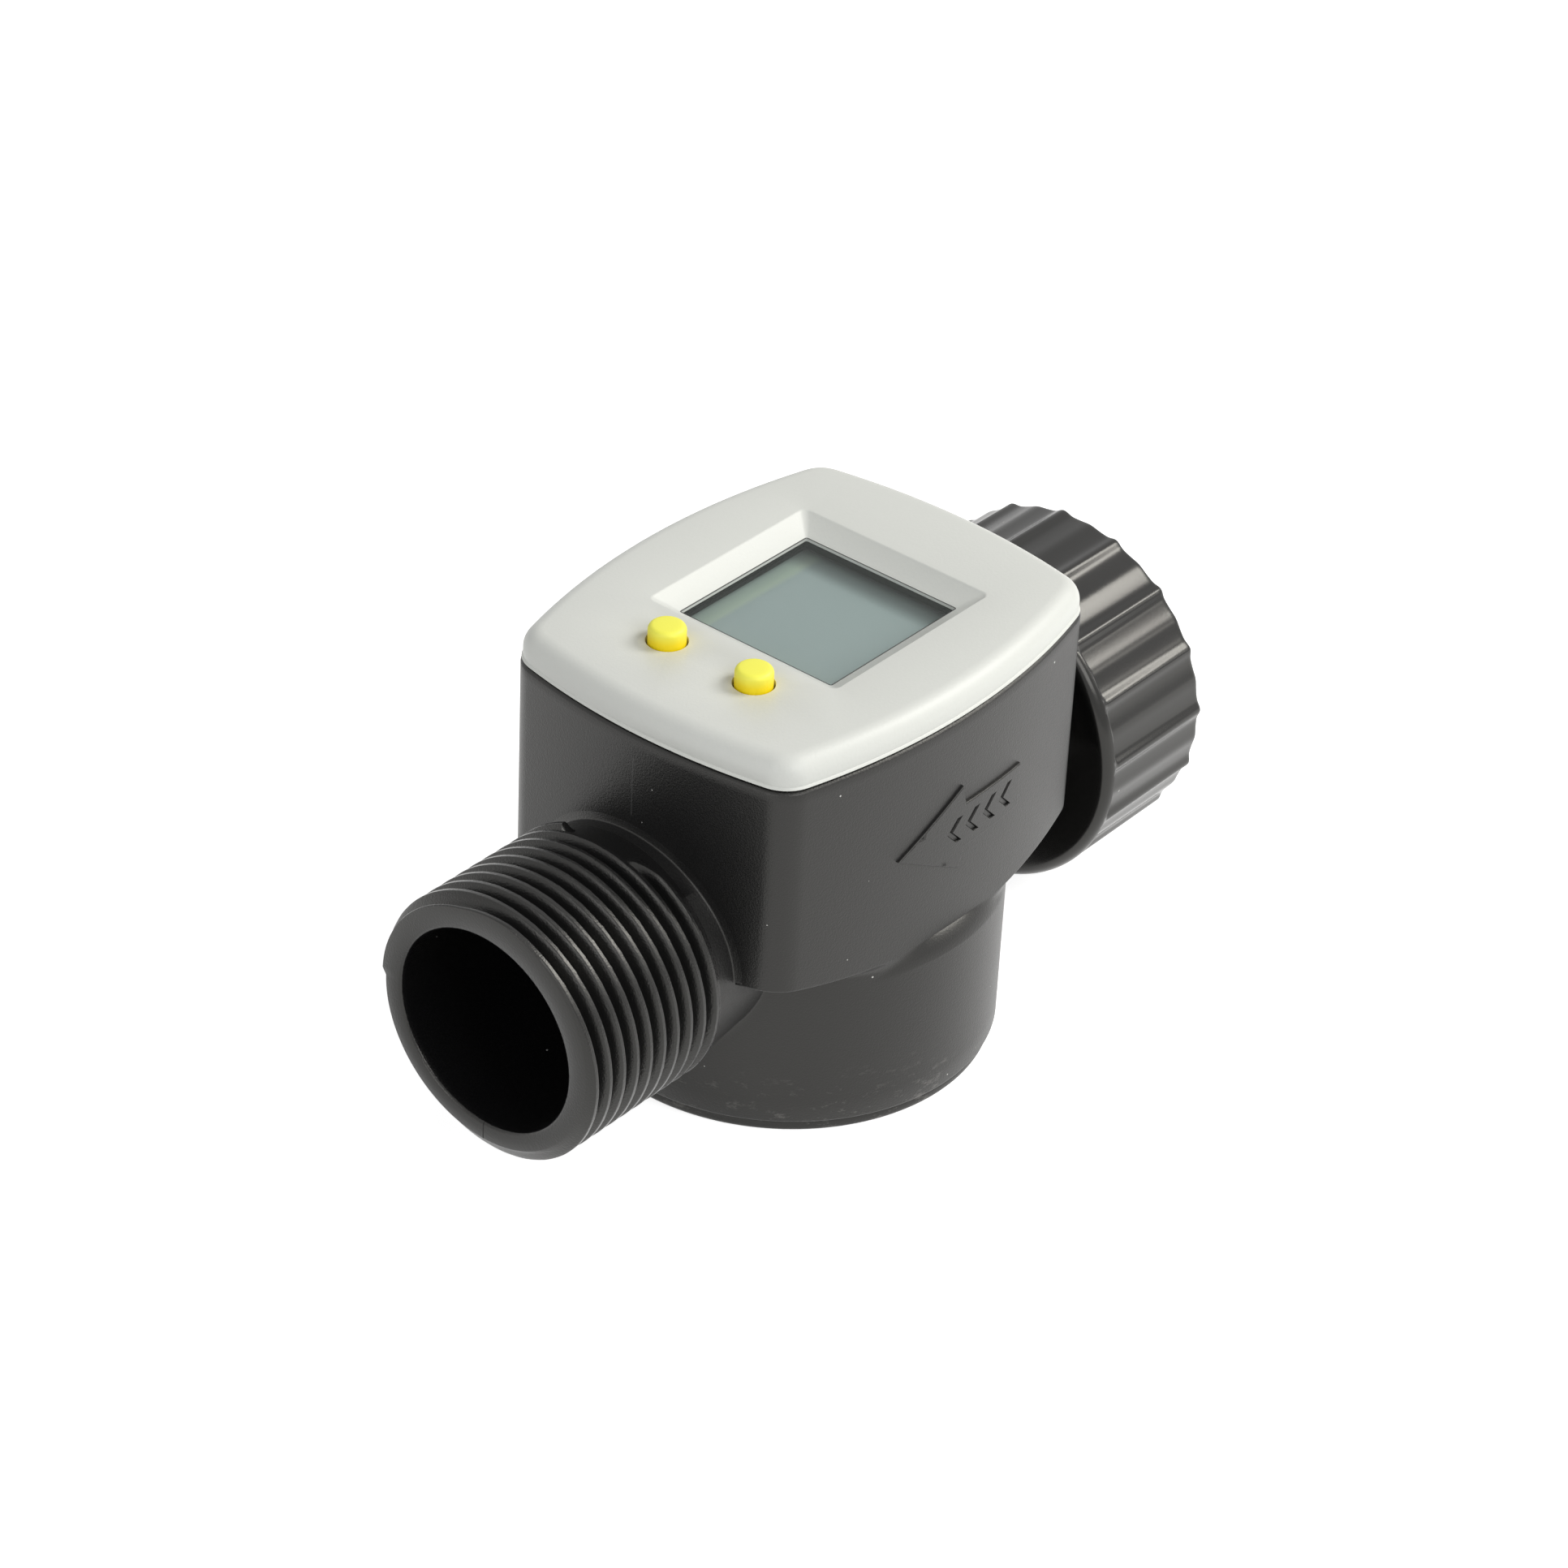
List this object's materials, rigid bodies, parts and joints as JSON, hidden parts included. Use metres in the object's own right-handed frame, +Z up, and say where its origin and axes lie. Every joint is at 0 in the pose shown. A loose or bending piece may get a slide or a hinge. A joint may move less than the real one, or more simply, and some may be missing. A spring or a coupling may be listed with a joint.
{
  "type": "digital water meter",
  "caption": "Inline digital water meter for a garden hose: threaded outlet spout, swivel nut inlet, round turbine base and a boxy display head with push buttons.",
  "frame": {"origin": "middle of the flat round foot that the meter stands on", "axes": "+Z up through the display, X along the pipe with the inlet nut at +X and the outlet spout at -X, arrow side at -Y"},
  "size_m": [0.0859, 0.0416, 0.0471],
  "materials": {
    "black_housing": "satin, fine moulded grain",
    "black_nut": "satin gloss",
    "grey_cover": "satin",
    "yellow_button": "satin gloss",
    "clear_window": "clear, polished",
    "display_glass": "blue-grey liquid crystal glass",
    "white_plastic": "satin",
    "dark_plastic": "satin",
    "rubber_seal": "matt rubber",
    "pink_rubber": "matt silicone",
    "green_board": "solder mask",
    "resin": "glossy resin",
    "steel": "brushed",
    "cell_steel": "satin steel",
    "contact_metal": "plated spring metal",
    "magnet": "sintered magnet",
    "reed_glass": "clear glass capsule"
  },
  "bodies": {
    "meter": {"housing": "black_housing", "base_cap": "black_housing", "cap_seal": "rubber_seal", "bearing_lower": "white_plastic", "bearing_upper": "white_plastic", "wheel_pin": "steel", "jet_ring": "dark_plastic", "inlet_strainer": "dark_plastic", "hose_washer": "rubber_seal", "top_cover": "grey_cover", "cover_gasket": "rubber_seal", "display_window": "clear_window", "display_glass": "display_glass", "display_frame": "dark_plastic", "contact_strip_left": "pink_rubber", "contact_strip_right": "pink_rubber", "push_switch_left": "dark_plastic", "push_switch_right": "dark_plastic", "circuit_board": "green_board", "board_screw_1": "steel", "board_screw_2": "steel", "board_screw_3": "steel", "board_screw_4": "steel", "coin_cell": "cell_steel", "cell_clip": "contact_metal", "cell_spring": "contact_metal", "reed_switch": "reed_glass", "controller": "resin", "clock_crystal": "cell_steel"},
    "nut": {"swivel_nut": "black_nut"},
    "left_button": {"button_left": "yellow_button", "switch_plunger_left": "dark_plastic"},
    "right_button": {"button_right": "yellow_button", "switch_plunger_right": "dark_plastic"},
    "wheel": {"turbine_wheel": "white_plastic", "wheel_magnet": "magnet"}
  },
  "joints": [
    {"name": "nut_turn", "type": "hinge", "parent": "meter", "child": "nut", "pos_m": [0.0352, 0, 0.01975], "axis": [1, 0, 0], "continuous": true},
    {"name": "wheel_turn", "type": "hinge", "parent": "meter", "child": "wheel", "pos_m": [0, 0, 0.018], "axis": [0, 0, 1], "continuous": true},
    {"name": "left_button_press", "type": "slide", "parent": "meter", "child": "left_button", "axis": [0, 0, -1], "range_m": [0, 0.0005], "stiffness_N_per_m": 2000, "springref_m": -0.0004},
    {"name": "right_button_press", "type": "slide", "parent": "meter", "child": "right_button", "axis": [0, 0, -1], "range_m": [0, 0.0005], "stiffness_N_per_m": 2000, "springref_m": -0.0004}
  ]
}
